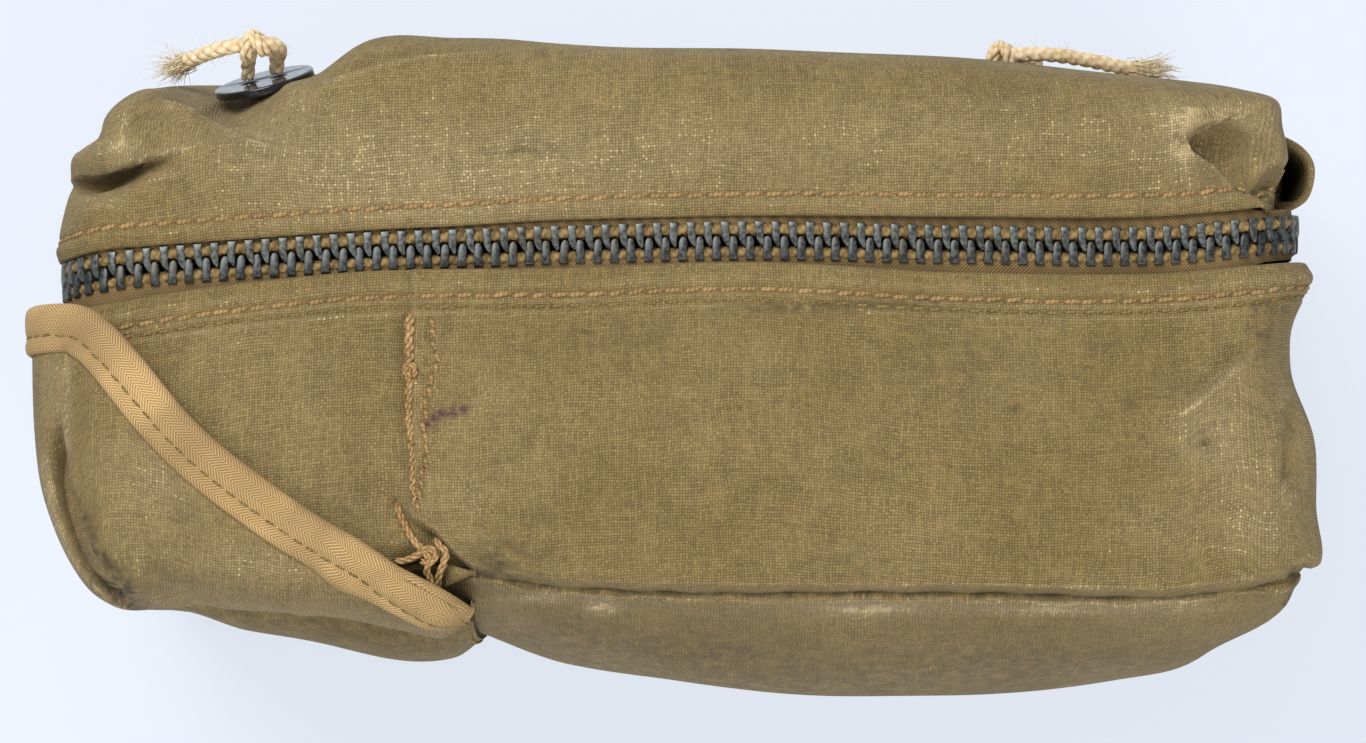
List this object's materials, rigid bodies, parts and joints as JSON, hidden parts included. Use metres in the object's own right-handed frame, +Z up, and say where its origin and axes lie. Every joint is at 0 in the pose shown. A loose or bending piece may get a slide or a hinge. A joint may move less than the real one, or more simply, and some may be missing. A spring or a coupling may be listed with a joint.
{
  "type": "first aid pouch",
  "caption": "Worn olive canvas first aid pouch standing on its spine, zip round three sides, slant-mouthed end pocket with tan binding, and twine tied through black discs on the lid.",
  "frame": {"origin": "on the floor under the middle of the pouch, on the flat spine it stands on", "axes": "+X along the pouch towards the end without the pocket, +Y towards the lid, +Z up towards the zip"},
  "size_m": [0.2332, 0.123, 0.1466],
  "materials": {
    "canvas": "worn plain-weave cotton canvas, olive khaki with paler rubbed threads",
    "binding_tape": "tan herringbone cotton tape",
    "zip_tape": "brown twill tape",
    "zip_metal": "dark oxidised metal with rubbed highlights",
    "black_disc": "glossy black",
    "twine": "cream cotton twine"
  },
  "bodies": {
    "root": {"body_gusset": "canvas", "body_front": "canvas", "lid_cover": "canvas", "end_pocket": "canvas", "pocket_binding": "binding_tape", "zip_tape_lid": "zip_tape", "zip_tape_body": "zip_tape", "zip_teeth_lid": "zip_metal", "zip_teeth_body": "zip_metal", "zip_slider": "zip_metal", "tie_disc_left": "black_disc", "tie_disc_right": "black_disc", "tie_twine_left": "twine", "tie_twine_right": "twine"}
  },
  "joints": []
}
